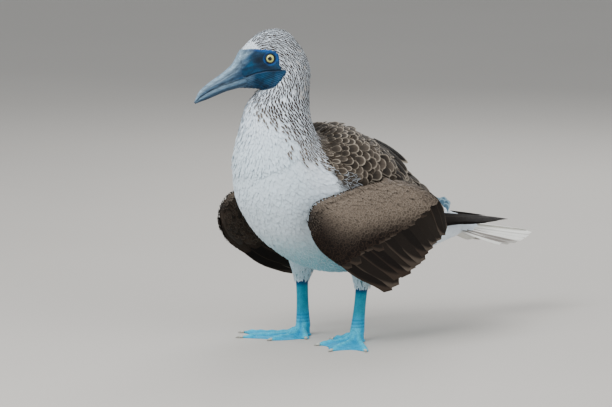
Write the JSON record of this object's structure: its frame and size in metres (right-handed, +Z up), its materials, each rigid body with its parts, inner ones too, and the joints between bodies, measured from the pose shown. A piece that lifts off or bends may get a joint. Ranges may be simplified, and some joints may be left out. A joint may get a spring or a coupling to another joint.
{
  "type": "blue-footed booby, life-size still model of a seabird",
  "caption": "Life-size still model of a standing blue-footed booby with its wings let down, its head turned to its right and webbed blue feet flat on the floor.",
  "frame": {"origin": "on the floor under the middle of the bird's bounding box", "axes": "+Z up, the body faces -Y with the tail at +Y, and +X is the bird's left side"},
  "size_m": [0.2458, 0.5924, 0.4551],
  "materials": {
    "white_feather": "soft white body feathers",
    "streaked_feather": "white feathers finely streaked with brown",
    "brown_feather": "brown wing coverts",
    "dark_feather": "dark brown flight feathers",
    "tail_feather": "white and pale brown tail feathers",
    "bill_horn": "blue-grey horn, satin",
    "eye": "glossy pale yellow eye with a black pupil",
    "blue_skin": "turquoise scaled skin",
    "claw_horn": "pale blue-grey horn"
  },
  "bodies": {
    "root": {"claw_left_hind": "claw_horn", "claw_left_inner": "claw_horn", "claw_left_middle": "claw_horn", "claw_left_outer": "claw_horn", "claw_right_hind": "claw_horn", "claw_right_inner": "claw_horn", "claw_right_middle": "claw_horn", "claw_right_outer": "claw_horn", "eye_left": "eye", "eye_right": "eye", "foot_left": "blue_skin", "foot_right": "blue_skin", "head": "streaked_feather", "lower_bill": "bill_horn", "neck": "streaked_feather", "shank_left": "blue_skin", "shank_right": "blue_skin", "tail": "tail_feather", "thigh_left": "white_feather", "thigh_right": "white_feather", "trunk": "white_feather", "upper_bill": "bill_horn", "wing_left_arm": "brown_feather", "wing_left_primaries": "dark_feather", "wing_left_secondaries": "dark_feather", "wing_right_arm": "brown_feather", "wing_right_primaries": "dark_feather", "wing_right_secondaries": "dark_feather"}
  },
  "joints": []
}
